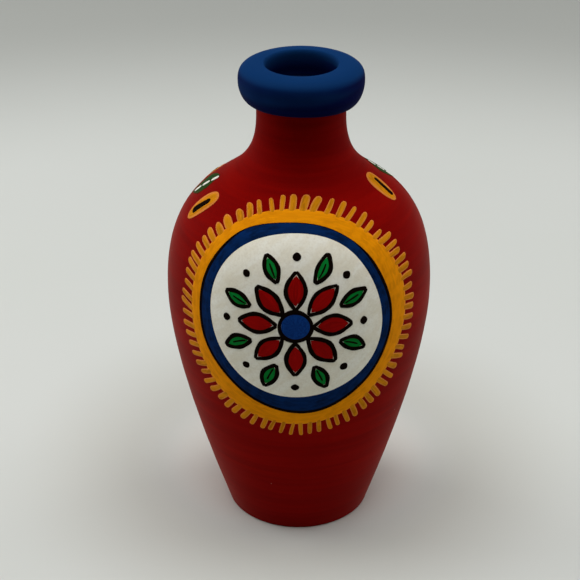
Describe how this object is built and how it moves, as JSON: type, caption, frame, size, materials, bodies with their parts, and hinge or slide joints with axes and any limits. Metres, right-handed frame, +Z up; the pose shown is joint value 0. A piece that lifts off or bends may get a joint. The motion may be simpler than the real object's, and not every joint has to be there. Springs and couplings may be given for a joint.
{
  "type": "vase",
  "caption": "Small terracotta vase with a tapered body, round shoulders, narrow neck and thick rolled rim, painted red with a blue rim and a fringed roundel; holds stems or stands as ornament.",
  "frame": {"origin": "centre of the foot's flat underside, on the surface that the vase stands on", "axes": "+Z up along the vase's axis, -Y out through the middle of the painted roundel, +X to the right of someone who faces the roundel"},
  "size_m": [0.082, 0.0824, 0.1499],
  "materials": {
    "terracotta": "bare low-fired clay, matt",
    "fired_slip": "fired slip, matt",
    "red_paint": "brushed acrylic paint, satin matt",
    "blue_paint": "brushed acrylic paint, matt",
    "white_paint": "brushed off-white paint, satin",
    "black_paint": "black pen and brush lines, satin",
    "yellow_paint": "brushed acrylic paint, satin matt",
    "green_paint": "brushed acrylic paint, satin"
  },
  "bodies": {
    "root": {"vessel_body": "terracotta", "rim_ring": "terracotta", "rim_slip": "fired_slip", "red_coat": "red_paint", "rim_coat": "blue_paint", "roundel_ground": "white_paint", "roundel_blue_band": "blue_paint", "roundel_black_line": "black_paint", "roundel_yellow_band": "yellow_paint", "roundel_fringe": "yellow_paint", "rosette_petals": "red_paint", "rosette_leaves": "green_paint", "rosette_heart": "blue_paint", "rosette_linework": "black_paint", "shoulder_ovals": "yellow_paint", "oval_slits": "black_paint", "shoulder_leaves": "green_paint", "leaf_dashes": "white_paint"}
  },
  "joints": []
}
